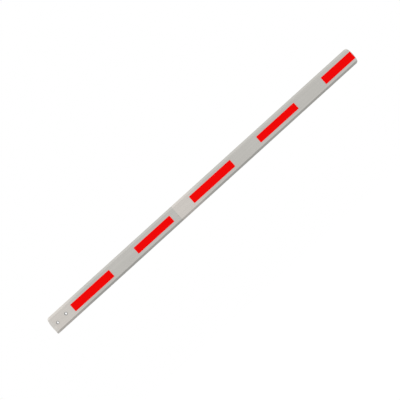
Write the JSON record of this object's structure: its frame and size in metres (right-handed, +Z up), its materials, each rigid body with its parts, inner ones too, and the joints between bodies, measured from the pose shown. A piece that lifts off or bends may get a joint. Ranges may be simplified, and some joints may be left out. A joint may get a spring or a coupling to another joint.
{
  "type": "barrier boom arm",
  "caption": "Straight octagonal aluminium boom arm of a parking barrier gate, spliced from tube lengths, capped at both ends, with red reflective strips and bolt holes at its root.",
  "frame": {"origin": "midway between the axes of the arm bolts, on the rear face that seats on the gate's arm carrier", "axes": "+X along the boom from its root to its tip, +Y out of the rear face along the bolts, +Z up with the boom level, as when the gate is closed"},
  "size_m": [2.4005, 0.0479, 0.11],
  "materials": {
    "boom_aluminium": "satin silver-grey anodised extrusion",
    "mill_aluminium": "mill finish extrusion",
    "zinc_steel": "bright zinc plated",
    "cap_plastic": "fine moulded texture",
    "red_sheeting": "prismatic retroreflective sheeting"
  },
  "bodies": {
    "root": {"base_tube": "boom_aluminium", "tip_tube": "boom_aluminium", "end_bolt_sleeve": "zinc_steel", "inner_bolt_sleeve": "zinc_steel", "root_liner": "mill_aluminium", "splice_channel_upper": "mill_aluminium", "splice_channel_lower": "mill_aluminium", "splice_screws_base": "zinc_steel", "splice_screws_tip": "zinc_steel", "root_cap": "cap_plastic", "tip_cap": "cap_plastic", "root_cap_screws": "zinc_steel", "tip_cap_screws": "zinc_steel", "front_strip_1": "red_sheeting", "front_strip_2": "red_sheeting", "front_strip_3": "red_sheeting", "front_strip_4": "red_sheeting", "front_strip_5": "red_sheeting", "rear_strip_1": "red_sheeting", "rear_strip_2": "red_sheeting", "rear_strip_3": "red_sheeting", "rear_strip_4": "red_sheeting", "rear_strip_5": "red_sheeting"}
  },
  "joints": []
}
